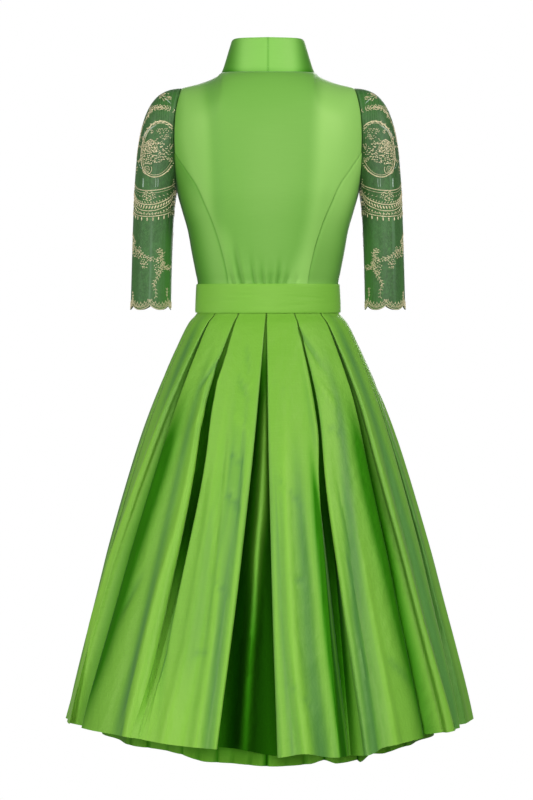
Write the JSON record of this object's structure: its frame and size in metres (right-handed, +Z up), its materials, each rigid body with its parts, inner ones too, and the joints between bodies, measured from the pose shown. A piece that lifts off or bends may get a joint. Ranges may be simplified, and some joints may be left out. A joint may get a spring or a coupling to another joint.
{
  "type": "dirndl dress",
  "caption": "Folk dress shown worn but empty: stand collar, princess-seamed bodice, half sleeves of embroidered net, flat belt and a full box-pleated skirt over an underskirt",
  "frame": {"origin": "middle of the neck, level with the inner ends of the shoulder seams", "axes": "+Z up, +Y the way the wearer faces, +X towards the wearer's right"},
  "size_m": [0.708, 0.6407, 1.2224],
  "materials": {
    "bodice_taffeta": "satin",
    "skirt_taffeta": "satin",
    "underskirt_taffeta": "satin",
    "sleeve_lace": "matt"
  },
  "bodies": {
    "root": {"collar_right": "bodice_taffeta", "collar_left": "bodice_taffeta", "back": "bodice_taffeta", "side_back_right": "bodice_taffeta", "side_back_left": "bodice_taffeta", "side_front_right": "bodice_taffeta", "side_front_left": "bodice_taffeta", "front_right": "bodice_taffeta", "front_left": "bodice_taffeta", "placket": "bodice_taffeta", "button_1": "bodice_taffeta", "button_2": "bodice_taffeta", "button_3": "bodice_taffeta", "button_4": "bodice_taffeta", "button_5": "bodice_taffeta", "button_6": "bodice_taffeta", "button_7": "bodice_taffeta", "belt": "skirt_taffeta", "sleeve_right": "sleeve_lace", "sleeve_left": "sleeve_lace", "skirt_front": "skirt_taffeta", "skirt_left": "skirt_taffeta", "skirt_back": "skirt_taffeta", "skirt_right": "skirt_taffeta", "underskirt_back": "underskirt_taffeta", "underskirt_front": "underskirt_taffeta"}
  },
  "joints": []
}
